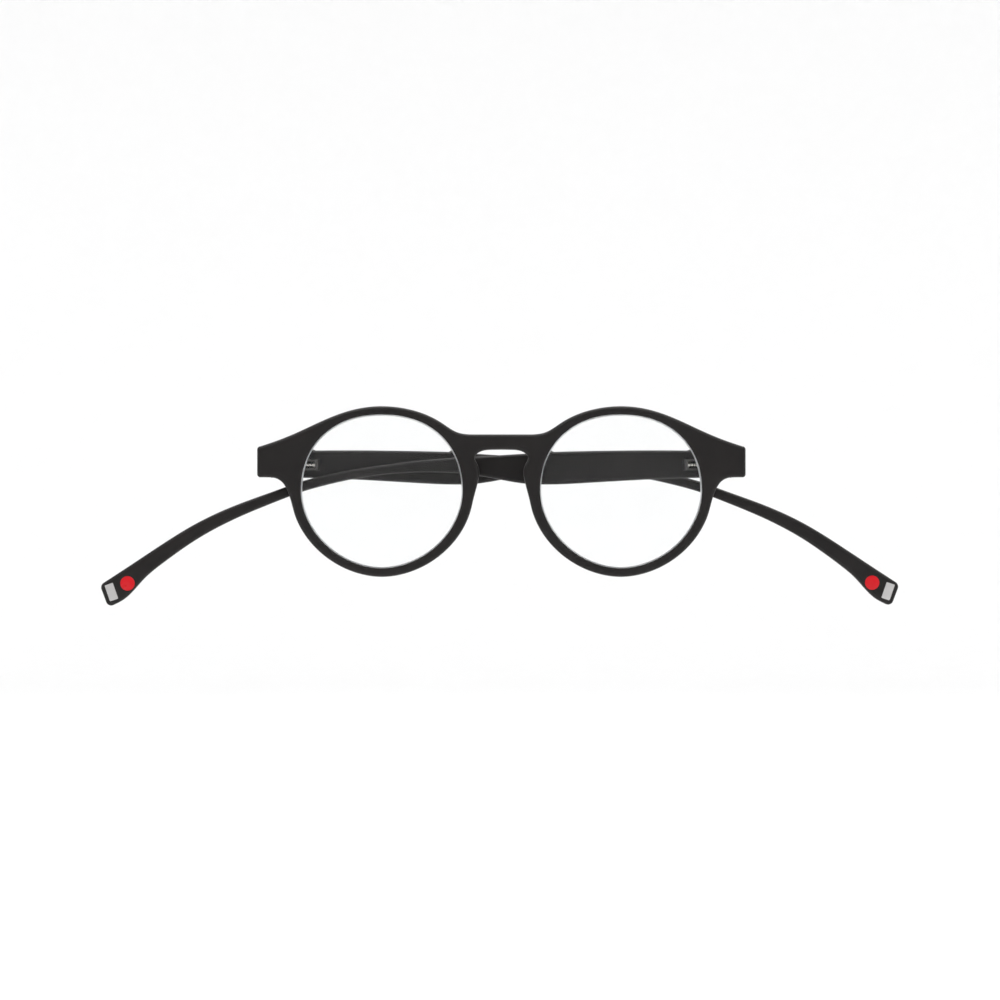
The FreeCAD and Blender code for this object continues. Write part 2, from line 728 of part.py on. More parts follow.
front_frame()
right_temple = temple_solids()
for side, word in ((1, "left"), (-1, "right")):
    run = -side
    fold = size(f"{word}_fold")
    lens(side, word)
    hinge_plate(run, word)
    hinge_screw(run, word)
    hinge_slider(run, word, fold)
    slider_stop(run, word, fold)
    hinge_spring(run, word, fold)
    spring_housing(run, word, fold)
    temple(right_temple, side, word, fold)
doc.recompute()

# ---------------------------------------------------------------- checks and files

failed = [item.Name for item in doc.Objects if {"Invalid", "Error"} & set(item.State)]
for item in sub_parts:
    if item.Shape.isNull() or not item.Shape.isValid() or len(item.Shape.Solids) != 1:
        failed.append(item.Label)
if failed:
    raise ValueError("failed: " + ", ".join(failed))
os.makedirs("parts", exist_ok=True)
for item in sub_parts:
    item.Shape.exportStep(f"parts/{item.Label}.step")
    bounds = item.Shape.BoundBox
    print(f"{item.Label:22s} {item.Shape.Volume:9.2f} mm3  x {bounds.XMin:8.2f} {bounds.XMax:8.2f}"
          f"  y {bounds.YMin:7.2f} {bounds.YMax:7.2f}  z {bounds.ZMin:7.2f} {bounds.ZMax:7.2f}")
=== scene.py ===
# %% [markdown]
# # Folding reading glasses
#
# This lesson dresses a finished mechanical model of a pair of folding reading glasses: a round
# front with a keyhole bridge, two clear lenses, spring hinges, and long slender temples that end
# in small magnets. The mechanical model gives every place and every size. Each step below adds
# one piece or one finish on top of it. Lengths are in millimetres until a mesh is made.

# %% Load the mechanical model
import json
import math
import bmesh
import bpy
import numpy as np
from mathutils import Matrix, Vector

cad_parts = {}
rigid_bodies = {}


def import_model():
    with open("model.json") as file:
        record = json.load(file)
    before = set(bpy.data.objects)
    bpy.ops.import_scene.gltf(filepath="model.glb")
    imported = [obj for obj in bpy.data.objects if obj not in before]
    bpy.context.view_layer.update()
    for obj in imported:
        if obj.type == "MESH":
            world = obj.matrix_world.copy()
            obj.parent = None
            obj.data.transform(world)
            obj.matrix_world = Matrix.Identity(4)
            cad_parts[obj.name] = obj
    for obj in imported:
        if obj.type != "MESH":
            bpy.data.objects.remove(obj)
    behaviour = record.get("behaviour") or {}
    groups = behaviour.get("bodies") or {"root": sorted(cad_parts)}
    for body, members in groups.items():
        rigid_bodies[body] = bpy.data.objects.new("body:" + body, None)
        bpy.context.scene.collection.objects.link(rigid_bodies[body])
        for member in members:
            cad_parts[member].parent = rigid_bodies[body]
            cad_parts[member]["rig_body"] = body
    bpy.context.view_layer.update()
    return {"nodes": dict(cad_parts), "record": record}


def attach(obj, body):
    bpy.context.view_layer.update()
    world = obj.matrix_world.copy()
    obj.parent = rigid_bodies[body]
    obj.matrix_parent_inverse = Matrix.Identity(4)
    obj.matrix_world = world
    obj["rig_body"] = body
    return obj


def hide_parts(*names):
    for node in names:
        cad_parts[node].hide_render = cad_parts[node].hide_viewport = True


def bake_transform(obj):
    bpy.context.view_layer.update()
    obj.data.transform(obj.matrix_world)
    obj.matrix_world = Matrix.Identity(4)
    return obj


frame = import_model()
MM = 0.001
print("nodes:", len(frame["nodes"]))

# %% [markdown]
# ## Turning arrays into pieces
#
# Every new piece is a sheet of points that numpy works out in millimetres. One helper puts such
# a sheet into a mesh. It joins doubled points at seams and poles, because an open seam would
# leave a crack, and it turns all faces outward, because a mirrored sheet is inside out.

# %% A mesh from points and faces
def piece_from(name, points, faces, sharp=35.0):
    """A closed mesh object; points in millimetres, faces as rows of point numbers."""
    mesh = bpy.data.meshes.new(name)
    mesh.from_pydata((points * MM).tolist(), [], faces.tolist())
    work = bmesh.new()
    work.from_mesh(mesh)
    bmesh.ops.remove_doubles(work, verts=work.verts, dist=2e-7)
    bmesh.ops.dissolve_degenerate(work, edges=work.edges, dist=1e-8)
    bmesh.ops.recalc_face_normals(work, faces=work.faces)
    work.to_mesh(mesh)
    work.free()
    mesh.polygons.foreach_set("use_smooth", np.ones(len(mesh.polygons), bool))
    mesh.set_sharp_from_angle(angle=math.radians(sharp))
    made = bpy.data.objects.new(name, mesh)
    bpy.context.scene.collection.objects.link(made)
    print(f"{name}: {len(mesh.vertices)} points, {len(mesh.polygons)} faces")
    return made


# %% Faces between the points of a sheet
def sheet_faces(rows, columns, wrap=False):
    """Four-cornered faces over a grid of points, joined round the columns if wrap is set."""
    numbers = np.arange(rows * columns).reshape(rows, columns)
    if wrap:
        numbers = np.hstack([numbers, numbers[:, :1]])
    corners = numbers[:-1, :-1], numbers[1:, :-1], numbers[1:, 1:], numbers[:-1, 1:]
    return np.stack([corner.ravel() for corner in corners], axis=1)


print("a sheet of 3 by 4 points has", len(sheet_faces(3, 4)), "faces, and closed round,",
      len(sheet_faces(3, 4, wrap=True)))


# %% A smooth line through points
def smooth_line(points, count, first=None, last=None, carried=None):
    """A cubic spline: on each span the Hermite cubic between its ends, with slopes that make the
    bend run on without a break. End slopes may be given. Values carried by the points are
    interpolated evenly along the line."""
    p = np.asarray(points, float)
    span = np.linalg.norm(np.diff(p, axis=0), axis=1)
    place = np.concatenate([[0.0], np.cumsum(span)])
    rate = np.diff(p, axis=0) / span[:, None]
    system = np.zeros((len(p), len(p)))
    right = np.zeros_like(p)
    inside = np.arange(1, len(p) - 1)
    system[inside, inside - 1] = span[1:]
    system[inside, inside] = 2 * (span[:-1] + span[1:])
    system[inside, inside + 1] = span[:-1]
    right[1:-1] = 3 * (span[1:, None] * rate[:-1] + span[:-1, None] * rate[1:])
    system[0, :2], right[0] = ((1, 0), first) if first else ((2, 1), 3 * rate[0])
    system[-1, -2:], right[-1] = ((0, 1), last) if last else ((1, 2), 3 * rate[-1])
    slope = np.linalg.solve(system, right)
    along = np.linspace(0, place[-1], count)
    k = np.clip(np.searchsorted(place, along, side="right") - 1, 0, len(p) - 2)
    u = ((along - place[k]) / span[k])[:, None]
    h = span[k][:, None]
    line = ((1 + 2 * u) * (1 - u) ** 2 * p[k] + u * (1 - u) ** 2 * h * slope[k]
            + u ** 2 * (3 - 2 * u) * p[k + 1] + u ** 2 * (u - 1) * h * slope[k + 1])
    return line if carried is None else (line, np.interp(along, place, carried))


print("halfway over a hill of three points:", smooth_line([(0, 0), (1, 1), (2, 0)], 5)[2])


# %% A round corner
def round_corner(start, crossing, end, count):
    """Points on the arc from start to end that is tangent to the two lines meeting at the crossing:
    a quadratic curve whose middle weight is the sine of half the corner's angle."""
    a, b, c = (np.asarray(p, float) for p in (start, crossing, end))
    half = 0.5 * math.acos(np.dot(a - b, c - b) / np.linalg.norm(a - b) / np.linalg.norm(c - b))
    weight = math.sin(half)
    u = np.linspace(0, 1, count)[:, None]
    share = (1 - u) ** 2, 2 * weight * u * (1 - u), u ** 2
    return (share[0] * a + share[1] * b + share[2] * c) / sum(share)


print("middle of a square corner of radius 1:", round_corner((0, 1), (1, 1), (1, 0), 3)[1])


# %% Distance to an edge, and the drop of a rounded edge
POINTS_AT_ONCE = 2000


def distance_to(lines, points):
    """The shortest distance from each point to any of the lines, each line a row of points."""
    nearest = np.full(len(points), 1e9)
    for line in lines:
        a, b = line[:-1], line[1:]
        ab = b - a
        length2 = np.maximum((ab ** 2).sum(1), 1e-12)
        for start in range(0, len(points), POINTS_AT_ONCE):
            part = points[start:start + POINTS_AT_ONCE]
            ap = part[:, None, :] - a[None]
            u = np.clip((ap * ab).sum(2) / length2, 0, 1)
            gap = np.linalg.norm(ap - u[..., None] * ab, axis=2).min(1)
            nearest[start:start + POINTS_AT_ONCE] = np.minimum(nearest[start:start + POINTS_AT_ONCE], gap)
    return nearest


def rounding(distance, radius):
    """How far a face has dropped at a distance d from its edge: the quarter circle
    r - sqrt(r^2 - (r - d)^2), and nothing past r."""
    inside = np.clip(radius - distance, 0, radius)
    return radius - np.sqrt(radius ** 2 - inside ** 2)


print("drop at 0, 0.5 and 1 from an edge of radius 1:", rounding(np.array([0, 0.5, 1.0]), 1.0).round(3))

# %% [markdown]
# ## The front
#
# On the real glasses the front is one moulding with a soft-touch coat. Its edges are all rounded,
# which a cut-out plate cannot show. A bevel modifier would stumble over the long curved outline,
# so the section is carried round each lens opening instead: the sheet starts at the opening's
# groove, runs over the front face to the outside edge, and returns over the back face. The
# height of both faces follows from the distance to the nearest edge.

# %% The lens outline, and the seat that the lens lies in
CENTRE_ACROSS, CENTRE_HEIGHT = 34.65, -5.3
OPENING_HALF = np.array([23.6, 22.3])
UPPER_POWER, LOWER_POWER = 2.2, 1.9
FACE_RADIUS = 600.0
SEAT_TURN = math.asin(CENTRE_ACROSS / FACE_RADIUS)
SEAT_BACK = FACE_RADIUS - math.sqrt(FACE_RADIUS ** 2 - CENTRE_ACROSS ** 2)


def panto(turn, half_width, half_height):
    """Points of the lens outline: |x/a|^p + |z/b|^p = 1, with one power above the centre and
    another below."""
    power = np.where(np.sin(turn) > 0, UPPER_POWER, LOWER_POWER)
    across = np.sign(np.cos(turn)) * np.abs(np.cos(turn)) ** (2 / power)
    up = np.sign(np.sin(turn)) * np.abs(np.sin(turn)) ** (2 / power)
    return np.stack([half_width * across, half_height * up], axis=-1)


def in_seat(outline, depth):
    """Points of an outline in the lens's own plane, moved back by a depth and turned with the
    curve of the face."""
    across = CENTRE_ACROSS + outline[:, 0] * math.cos(SEAT_TURN) - depth * math.sin(SEAT_TURN)
    back = SEAT_BACK + outline[:, 0] * math.sin(SEAT_TURN) + depth * math.cos(SEAT_TURN)
    return np.stack([across, back, CENTRE_HEIGHT + outline[:, 1]], axis=1)


print("the seat's turn in degrees, and its place behind the front:", math.degrees(SEAT_TURN), SEAT_BACK)

# %% Points that the front's outline runs through
BRIDGE_LOW, BRIDGE_HIGH = 6.8, 11.2
END_OUT, END_HIGH, END_LOW = 71, 7.8, -1.2
CORNER_IN, CORNER_HIGH, CORNER_LOW = 70.1, 6.8, -0.3
BROW = [(9.0, BRIDGE_HIGH), (12.4, 11.7), (17.2, 14.5), (23.0, 17.4), (28.8, 18.9), (34.65, 19.4),
        (40.6, 18.9), (49.1, 16.4), (57.8, 12.5), (64.5, 9.7), (CORNER_IN, END_HIGH)]
UNDER_END = [(67.4, END_LOW), (64.2, -2.2), (62.3, -4.8)]
RIM_TURNS = np.radians(np.linspace(-10, -170, 21))
RIM_ROOM = (3.0, 2.5)
RISE, FALL = (-0.203, 0.979), (-0.203, -0.979)
rim = panto(RIM_TURNS, *(OPENING_HALF + RIM_ROOM)) + (CENTRE_ACROSS, CENTRE_HEIGHT)
keyhole = [tuple(rim[-1]), (7.5, -5.3), (6.8, -2.6), (6.4, 0.0), (7.0, 2.7), (7.75, 4.6), (6.1, 6.2),
           (3.2, 6.75), (0.0, BRIDGE_LOW)]
keyhole_both = keyhole + [(-x, z) for x, z in keyhole[-2::-1]]
print("the rim's lowest point:", rim[:, 1].min().round(2))

# %% The outline as one closed row, each point paired with a turn round the opening
BROW_TURNS = np.array([134, 130, 123, 113, 102, 90, 76, 56, 39, 27, 21])
KEYHOLE_TURNS = np.array([-170, -180, -187, -193, -199.5, -204, -207, -209, -210.0])
SEAM_TURNS = (150, 142)
edge_steps = np.array([0, 0.06, 0.17, 0.36, 0.62, 0.95, 1.5])
seam_heights = np.concatenate([BRIDGE_LOW + edge_steps, [9.0], BRIDGE_HIGH - edge_steps[::-1]])
seam = np.stack([np.zeros(len(seam_heights)), seam_heights], axis=1)
seam_turns = np.interp(seam_heights, (BRIDGE_LOW, BRIDGE_HIGH), SEAM_TURNS)
brow_line, brow_turns = smooth_line(BROW, 210, carried=BROW_TURNS)
lower_line, lower_turns = smooth_line(UNDER_END + [tuple(p) for p in rim], 290, (-1, 0), RISE,
                                      carried=np.concatenate([[7, 3, -3], np.degrees(RIM_TURNS)]))
key_line, key_turns = smooth_line(keyhole_both, 181, RISE, FALL,
                                  carried=np.concatenate([KEYHOLE_TURNS, KEYHOLE_TURNS[-2::-1]]))
TO_THE_MIDDLE = slice(0, 91)
end_top = round_corner((CORNER_IN, END_HIGH), (END_OUT, END_HIGH), (END_OUT, CORNER_HIGH), 9)
end_bottom = round_corner((END_OUT, CORNER_LOW), (END_OUT, END_LOW), (CORNER_IN, END_LOW), 9)
stretches = [(seam, seam_turns),
             (np.linspace((0, BRIDGE_HIGH), BROW[0], 22), np.linspace(142, 134, 22)),
             (brow_line, brow_turns),
             (end_top, np.linspace(21, 19, 9)),
             (np.linspace((END_OUT, CORNER_HIGH), (END_OUT, CORNER_LOW), 24), np.linspace(19, 11, 24)),
             (end_bottom, np.linspace(11, 10, 9)),
             (np.linspace((CORNER_IN, END_LOW), UNDER_END[0], 9), np.linspace(10, 7, 9)),
             (lower_line, lower_turns),
             (key_line[TO_THE_MIDDLE], key_turns[TO_THE_MIDDLE])]
outline = np.concatenate([line[:-1] for line, turns in stretches])
pair_turns = np.radians(np.concatenate([turns[:-1] for line, turns in stretches]))
real_edge = np.concatenate([line for line, turns in stretches[1:]])
opening = panto(pair_turns, *OPENING_HALF)
columns = len(outline)
print("outline:", columns, "columns, from", outline.min(0), "to", outline.max(0))

# %% The height of the front's two faces
FRONT_HALF_THICKNESS = 2
END_SEAT_FROM, END_SEAT_BACK = 62, 5.2
PAD_ACROSS, PAD_HEIGHT, PAD_LEAN = 9.2, -1.2, math.radians(9)
PAD_HALF_WIDTH, PAD_HALF_LENGTH, PAD_DEPTH, PAD_BLEND = 2.3, 6.6, 2.6, 1.2


def face_height(points, side):
    """The curved face before its edges are rounded: a cylinder about an upright axis. The back is
    cut flat for the hinges, and swells into a nose pad: a smooth union of the face with half an
    ellipsoid, where the two heights are mixed and raised by blend * s * (1 - s)."""
    across, up = points[:, 0], points[:, 1]
    height = FACE_RADIUS - np.sqrt((FACE_RADIUS - FRONT_HALF_THICKNESS * side) ** 2 - across ** 2)
    if side < 0:
        return height
    height = np.where(across > END_SEAT_FROM, np.minimum(height, END_SEAT_BACK), height)
    along = (up - PAD_HEIGHT) * math.cos(PAD_LEAN) - (across - PAD_ACROSS) * math.sin(PAD_LEAN)
    aside = (across - PAD_ACROSS) * math.cos(PAD_LEAN) + (up - PAD_HEIGHT) * math.sin(PAD_LEAN)
    inside = 1 - (aside / PAD_HALF_WIDTH) ** 2 - (along / PAD_HALF_LENGTH) ** 2
    pad = PAD_DEPTH + PAD_DEPTH * np.sign(inside) * np.abs(inside) ** 0.5
    share = np.clip(0.5 + 0.5 * (pad - height) / PAD_BLEND, 0, 1)
    return height * (1 - share) + pad * share + PAD_BLEND * share * (1 - share)


print("the nose pads reach back to", face_height(np.array([[PAD_ACROSS, PAD_HEIGHT]]), 1).round(2))

# %% One face of the front as rows of points
OUTER_ROUNDING, OPENING_ROUNDING, OPENING_LIP = 1.05, 0.4, 1.7
near_steps = np.array([0, 0.05, 0.13, 0.25, 0.42])
far_steps = np.array([0, 0.06, 0.17, 0.36, 0.62, 0.95, 1.3])
even_steps = np.linspace(0, 1, 14)[1:-1, None]


def face_rows(side):
    """Rows from the opening to the outside edge: start + (end - start) * v, crowded at both edges,
    with the height of the face less the drop of its two rounded edges."""
    start = in_seat(opening, OPENING_LIP * side)[:, [0, 2]]
    reach = np.linalg.norm(outline - start, axis=1)
    distances = np.vstack([near_steps[:, None] * np.ones(columns),
                           near_steps[-1] + (reach - near_steps[-1] - far_steps[-1]) * even_steps,
                           reach - far_steps[::-1, None]])
    share = (distances / reach)[..., None]
    flat = (start + (outline - start) * share).reshape(-1, 2)
    lens_edge = np.vstack([start, start[:1]])
    drop = (rounding(distance_to([real_edge], flat), OUTER_ROUNDING)
            + rounding(distance_to([lens_edge], flat), OPENING_ROUNDING))
    height = face_height(flat, side) - side * drop
    return np.stack([flat[:, 0], height, flat[:, 1]], axis=1).reshape(-1, columns, 3)


front_face, back_face = face_rows(-1), face_rows(1)
print("rows on each face:", len(front_face))

# %% The front as one closed piece
GROOVE_DEPTH, GROOVE_HALF_WIDTH = 0.55, 0.55


def groove_row(amount, depth):
    """The opening's outline larger by an amount, as one row of the groove."""
    return in_seat(panto(pair_turns, *(OPENING_HALF + amount)), depth)[None]


outside_wall = (front_face[-1:] + back_face[-1:]) / 2
section = np.concatenate([groove_row(0, -GROOVE_HALF_WIDTH), front_face, outside_wall, back_face[::-1],
                          groove_row(0, GROOVE_HALF_WIDTH), groove_row(GROOVE_DEPTH, GROOVE_HALF_WIDTH),
                          groove_row(GROOVE_DEPTH, -GROOVE_HALF_WIDTH), groove_row(0, -GROOVE_HALF_WIDTH)])
faces = sheet_faces(len(section), columns, wrap=True)
wall_rows = len(front_face) + np.arange(2)
in_the_bridge = np.isin(faces[:, 0] // columns, wall_rows) & (faces[:, 0] % columns < len(seam) - 1)
faces = faces[~in_the_bridge]
one_half = section.reshape(-1, 3)
both_halves = np.concatenate([one_half, one_half * (-1, 1, 1)])
front = piece_from("front_moulding", both_halves, np.concatenate([faces, faces[:, ::-1] + len(one_half)]))
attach(front, "front")
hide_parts("front_frame")

# %% [markdown]
# ## The lenses
#
# A reading lens is a thin meniscus: both faces are parts of spheres, the front one more curved.
# Round its edge runs a ridge that sits in the groove of the rim. A sheet in polar form follows
# this exactly: rows grow from the centre of the front face to the edge, fall over a fine bevel,
# step out over the ridge, and return to the centre of the back face. The bevel and the ridge are
# ground, not polished, so they show as a thin pale line round the lens.

# %% The points of a lens
FRONT_SPHERE, BACK_SPHERE, LENS_EDGE, LENS_REACH = 150.0, 400.0, 0.8, 23.6
CLEAR_HALF, RIDGE_HALF, RIDGE_HALF_WIDTH = OPENING_HALF - 0.05, OPENING_HALF + 0.45, 0.5
BEVEL_START = 0.986
lens_turns = np.linspace(0, 2 * math.pi, 161)[:-1]
growth = np.concatenate([[0], np.linspace(0.04, BEVEL_START, 26)])


def sphere_depth(radius, reach, edge):
    """Depth of a spherical face: edge - sqrt(R^2 - r^2) + sqrt(R^2 - reach^2)."""
    return edge - np.sqrt(radius ** 2 - reach ** 2) + math.sqrt(radius ** 2 - LENS_REACH ** 2)


def lens_points():
    """Rows of a lens in its own plane: outline * share, with the depth of the sphere at that
    distance, and four rows for the ridge between the two faces."""
    clear = panto(lens_turns, *CLEAR_HALF)
    ridge = panto(lens_turns, *RIDGE_HALF)
    spread = clear * growth[:, None, None]
    reach = np.linalg.norm(spread, axis=2)
    step_depth = RIDGE_HALF_WIDTH * np.array([-1, -1, 1, 1])[:, None] + np.zeros(len(lens_turns))
    flat = np.concatenate([spread, [clear, ridge, ridge, clear], spread[::-1]])
    depth = np.concatenate([sphere_depth(FRONT_SPHERE, reach, -LENS_EDGE), step_depth,
                            sphere_depth(BACK_SPHERE, reach[::-1], LENS_EDGE)])
    return in_seat(flat.reshape(-1, 2), depth.ravel())


print("a lens has", len(lens_points()), "points before its poles are joined")

# %% Two lenses
lens_faces = sheet_faces(2 * len(growth) + 4, len(lens_turns), wrap=True)
for side, word in ((1, "left"), (-1, "right")):
    lens = piece_from(f"{word}_clear_lens", lens_points() * (side, 1, 1), lens_faces)
    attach(lens, "front")
    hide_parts(f"{word}_lens")


# %% Which faces of a lens are ground
def edge_share(mesh):
    """For each face, how far out its middle lies: 1 on the clear outline, as
    (|x/a|^p + |z/b|^p)^(1/p)."""
    centre = np.empty(3 * len(mesh.polygons))
    mesh.polygons.foreach_get("center", centre)
    centre = centre.reshape(-1, 3) / MM
    across = (np.abs(centre[:, 0]) - CENTRE_ACROSS) / CLEAR_HALF[0]
    up = (centre[:, 2] - CENTRE_HEIGHT) / CLEAR_HALF[1]
    power = np.where(up > 0, UPPER_POWER, LOWER_POWER)
    return (np.abs(across) ** power + np.abs(up) ** power) ** (1 / power)


GROUND_FROM = BEVEL_START + 0.003
ground_faces = {f"{word}_clear_lens": edge_share(bpy.data.objects[f"{word}_clear_lens"].data) > GROUND_FROM
                for word in ("left", "right")}
print("ground faces:", {name: int(mask.sum()) for name, mask in ground_faces.items()})

# %% [markdown]
# ## The temples
#
# Each temple is one long moulding: a stiff arm at the hinge, a slender neck that bends, and a
# paddle at the tip. Its side view lies between an upper and a lower curve. The skin is a section
# carried along the two: over the inner face, round the upper edge, over the outer face, and back.
# A bed for the spring box is sunk into the inner face near the hinge.

# %% The temple's upper and lower curve
BUTT, TIP_TOP, TIP_LOW = -1.4, 181.2, 178.4
upper_edge = smooth_line([(BUTT, 6.4), (20, 6.6), (40, 6.4), (54, 6.0), (66, 5.3), (79, 4.5), (90, 3.6),
                          (98, 2.6), (107, 1.3), (117, -0.6), (124, -2.4), (132, -5.2), (141.6, -8.7),
                          (154, -14.3), (166, -21.7), (174, -27.05), (TIP_TOP, -31.8)], 1500)
lower_edge = smooth_line([(BUTT, -1.3), (10, -1.4), (24, -1.9), (40, -2.8), (52, -3.3), (60, -2.9),
                          (68, -1.5), (77, -0.2), (88, 0.3), (98, -0.2), (106, -1.2), (115.7, -3.2),
                          (124, -5.5), (132, -8.5), (141.6, -12.5), (154, -19.0), (164.4, -26.3),
                          (169.6, -30.7), (172.8, -34.3), (175.6, -36.8), (TIP_LOW, -38.3)], 1500)
print("highest and lowest point:", upper_edge[:, 1].max().round(2), lower_edge[:, 1].min().round(2))

# %% Sections along the temple
BED_END = 12.95
butt_steps = np.array([BUTT, -1.37, -1.3, -1.15, -0.95, -0.7, -0.4, 0, 0.4, 0.8])
stations = np.concatenate([butt_steps, np.arange(1.4, 12.8, 0.6), [BED_END - 0.01, BED_END + 0.01],
                           np.arange(13.6, 165, 0.75), np.arange(165, TIP_TOP, 0.35), [TIP_TOP]])
lower_stations = np.interp(stations, (BUTT, 62, 90, 107, 124, 140, 154, 166, 174, TIP_TOP),
                           (BUTT, 62, 90, 106.5, 122.8, 138.3, 151.4, 162.8, 170.5, TIP_LOW))
upper_heights = np.interp(stations, upper_edge[:, 0], upper_edge[:, 1])
lower_heights = np.interp(lower_stations, lower_edge[:, 0], lower_edge[:, 1])
tip_top = round_corner((TIP_TOP, -31.8), (182.29, -32.52), (181.84, -33.74), 9)
tip_bottom = round_corner((TIP_LOW, -38.3), (179.90, -39.02), (180.48, -37.45), 9)
top_line = np.concatenate([np.stack([stations, upper_heights], axis=1), tip_top[1:]])
bottom_line = np.concatenate([np.stack([lower_stations, lower_heights], axis=1), tip_bottom[1:]])
side_outline = np.concatenate([top_line, bottom_line[::-1]])
print("temple:", len(top_line), "sections, paddle to", side_outline.max(0))

# %% How a temple's thickness runs, and where it hangs
HINGE_ACROSS, HINGE_BACK, HINGE_HEIGHT = 65.8, 7.1, 2.4
ARM_END, PADDLE_START, BOW_RADIUS = 62.0, 165.0, 800.0
INNER_OFFSET, ROOT_THICKNESS, NECK_THICKNESS, TAPER, SWELL = 1.8, 3.0, 2.4, 0.6, 0.4
SWELL_FROM, SWELL_LENGTH = 150, 20
FOLD = {"left": 0.0, "right": math.radians(3.5)}


def inner_face(station):
    """Distance of the inner face from the pivot line: the offset, less the bow
    (s - arm)^2 / (2 * radius) past the arm."""
    return INNER_OFFSET - np.maximum(0, station - ARM_END) ** 2 / (2 * BOW_RADIUS)


def thickness(station):
    """A straight taper to the arm's end, and a smooth swell u^2 (3 - 2u) over the paddle."""
    u = np.clip((station - SWELL_FROM) / SWELL_LENGTH, 0, 1)
    return np.where(station < ARM_END, ROOT_THICKNESS - TAPER * station / ARM_END,
                    NECK_THICKNESS + SWELL * u ** 2 * (3 - 2 * u))


def placed(word, station, out, height):
    """A temple's own frame (along, outward, up) in the row frame: turned by its fold about the
    hinge."""
    run = -1 if word == "left" else 1
    turn = run * FOLD[word]
    along = run * station
    across = -run * HINGE_ACROSS + along * math.cos(turn) - out * math.sin(turn)
    back = HINGE_BACK + along * math.sin(turn) + out * math.cos(turn)
    return np.stack(np.broadcast_arrays(across, back, height), axis=-1)


print("thickness at hinge, neck and paddle:", [float(thickness(s)) for s in (0, 100, 175)])

# %% The temple's inner and outer face
EDGE_ROUNDING, BUTT_OUTER_ROUNDING, BUTT_INNER_ROUNDING, DROP_SHARE = 1.0, 2.2, 0.3, 0.46
BED_HALF_HEIGHT, BED_DEPTH, LEAST_WALL, WALL_GAP = 1.6, 2.95, 0.12, 0.01
EDGE_ROWS, BED_ROWS = 12, 9


def temple_rows():
    """Inner and outer faces as rows across the temple; rows crowd at its edges as a cosine, and
    two pairs of rows lie on the walls of the spring box's bed."""
    span = top_line[:, 1] - bottom_line[:, 1]
    at_bed = np.clip(top_line[:, 0], BUTT, BED_END + 0.01)
    low, high = (np.interp(at_bed, top_line[:, 0], (wall - bottom_line[:, 1]) / span)
                 for wall in (HINGE_HEIGHT - BED_HALF_HEIGHT, HINGE_HEIGHT + BED_HALF_HEIGHT))
    crowd = 1 - np.cos(np.linspace(0, math.pi / 2, EDGE_ROWS))[:, None]
    gap = WALL_GAP / span
    over_bed = low + gap + (high - low - 2 * gap) * np.linspace(0, 1, BED_ROWS)[:, None]
    shares = np.concatenate([crowd * (low - gap), over_bed, 1 - crowd[::-1] * (1 - high - gap)])
    flat = bottom_line + (top_line - bottom_line) * shares[..., None]
    station = flat[..., 0]
    distance = distance_to([side_outline], flat.reshape(-1, 2)).reshape(station.shape)
    inner, outer = inner_face(station), inner_face(station) + thickness(station)
    outer = outer - rounding(station - BUTT, BUTT_OUTER_ROUNDING)
    room = DROP_SHARE * (outer - inner)
    drop = np.minimum(rounding(distance, EDGE_ROUNDING), room)
    butt_drop = np.minimum(rounding(station - BUTT, BUTT_INNER_ROUNDING), room - drop)
    inner, outer = inner + drop + butt_drop, outer - drop
    bed = np.zeros(station.shape, bool)
    bed[EDGE_ROWS:EDGE_ROWS + BED_ROWS] = station[EDGE_ROWS:EDGE_ROWS + BED_ROWS] < BED_END
    inner = np.where(bed, np.minimum(BED_DEPTH, outer - LEAST_WALL), inner)
    return flat, inner, outer


flat, inner, outer = temple_rows()
count_across, count_along = inner.shape
print("temple sheet:", count_across, "rows across,", count_along, "sections along")

# %% Two temples
edge_between = (inner + outer) / 2
ring_flat = np.concatenate([flat, flat[-1:], flat[::-1], flat[:1]])
ring_out = np.concatenate([inner, edge_between[-1:], outer[::-1], edge_between[:1]])
ring = len(ring_out)
cap = np.arange(count_across - 1)
cap_back = 2 * count_across - cap
butt_cap = np.stack([cap, cap + 1, cap_back - 1, cap_back], axis=1)
tip_cap = (butt_cap + (count_along - 1) * ring)[:, ::-1]
skin_faces = np.concatenate([sheet_faces(count_along, ring, wrap=True), butt_cap, tip_cap])
skin_flat, skin_out = ring_flat.transpose(1, 0, 2).reshape(-1, 2), ring_out.T.ravel()
for word in ("left", "right"):
    skin = piece_from(f"{word}_temple", placed(word, skin_flat[:, 0], skin_out, skin_flat[:, 1]), skin_faces)
    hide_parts(f"{word}_temple_arm", f"{word}_temple_neck", f"{word}_temple_paddle")
    bend_from = placed(word, ARM_END, inner_face(ARM_END), 0.0) * MM
    bend_to = placed(word, PADDLE_START, inner_face(ARM_END), 0.0) * MM
    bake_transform(skin)

# %% [markdown]
# ## Magnets and inlays
#
# A small magnet is let into the inner face of each paddle, and a round inlay sits beside it. Both
# stand a hair above the moulding, with soft edges that catch the light. The magnet is a
# superellipsoid, a box whose edges are rounded by a power, and the inlay is a turned profile.

# %% Places on the paddle
TIP_TILT = math.radians(19)


def on_paddle(word, place, along, out, up):
    """Local points on a paddle: tilted in the face's plane, turned with the bow, then carried to
    their place, a station and a height."""
    station, height = place
    x = along * math.cos(TIP_TILT) + up * math.sin(TIP_TILT)
    z = -along * math.sin(TIP_TILT) + up * math.cos(TIP_TILT)
    slope = math.atan(-(station - ARM_END) / BOW_RADIUS)
    s = station + x * math.cos(slope) - out * math.sin(slope)
    n = inner_face(station) + x * math.sin(slope) + out * math.cos(slope)
    return placed(word, s, n, height + z)


def power_of(wave, power):
    """A cosine or sine raised to a power, keeping its sign."""
    return np.sign(wave) * np.abs(wave) ** power


